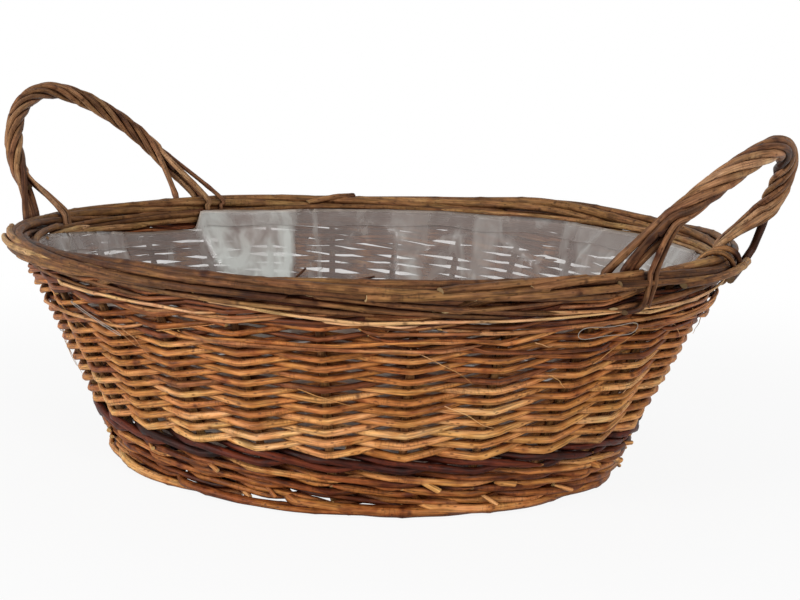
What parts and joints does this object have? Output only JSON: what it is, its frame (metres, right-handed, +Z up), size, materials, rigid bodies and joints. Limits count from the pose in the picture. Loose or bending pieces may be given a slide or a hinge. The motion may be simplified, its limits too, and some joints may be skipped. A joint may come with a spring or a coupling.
{
  "type": "planter basket",
  "caption": "Low oval willow planter basket with a flared woven wall, rope-like border, two twisted end handles leaning outward and a clear film liner.",
  "frame": {"origin": "centre of the whole basket's box, at the plane that its foot border stands on", "axes": "+X runs from the left handle to the right handle, +Y to the back, +Z up"},
  "size_m": [0.555, 0.4072, 0.2213],
  "materials": {
    "willow_tan": "dry tan bark",
    "willow_olive": "dry olive bark",
    "willow_brown": "dry brown bark",
    "willow_dark": "dark red-brown bark",
    "film": "clear soft film",
    "thread": "clear thread"
  },
  "bodies": {
    "root": {"base_cross_stick_1": "willow_brown", "base_cross_stick_2": "willow_brown", "base_cross_stick_3": "willow_brown", "base_long_stick_1": "willow_brown", "base_long_stick_2": "willow_brown", "base_weave_inner": "willow_olive", "base_weave_outer": "willow_olive", "border_rod_1": "willow_olive", "border_rod_2": "willow_olive", "border_rod_3": "willow_olive", "dark_foot_waling": "willow_dark", "foot_border": "willow_brown", "left_handle_core": "willow_olive", "left_handle_wrap_1": "willow_tan", "left_handle_wrap_2": "willow_tan", "liner_film": "film", "liner_tie_left": "thread", "liner_tie_right": "thread", "right_handle_core": "willow_olive", "right_handle_wrap_1": "willow_tan", "right_handle_wrap_2": "willow_tan", "side_weave_01": "willow_tan", "side_weave_02": "willow_tan", "side_weave_03": "willow_brown", "side_weave_04": "willow_tan", "side_weave_05": "willow_tan", "side_weave_06": "willow_brown", "side_weave_07": "willow_tan", "side_weave_08": "willow_tan", "side_weave_09": "willow_brown", "side_weave_10": "willow_tan", "stake_01": "willow_brown", "stake_02": "willow_brown", "stake_03": "willow_brown", "stake_04": "willow_brown", "stake_05": "willow_brown", "stake_06": "willow_brown", "stake_07": "willow_brown", "stake_08": "willow_brown", "stake_09": "willow_brown", "stake_10": "willow_brown", "stake_11": "willow_brown", "stake_12": "willow_brown", "stake_13": "willow_brown", "stake_14": "willow_brown", "stake_15": "willow_brown", "stake_16": "willow_brown", "stake_17": "willow_brown", "stake_18": "willow_brown", "stake_19": "willow_brown", "stake_20": "willow_brown", "stake_21": "willow_brown", "stake_22": "willow_brown", "stake_23": "willow_brown", "stake_24": "willow_brown", "stake_25": "willow_brown", "stake_26": "willow_brown", "top_waling": "willow_olive", "upsett_waling": "willow_olive"}
  },
  "joints": []
}
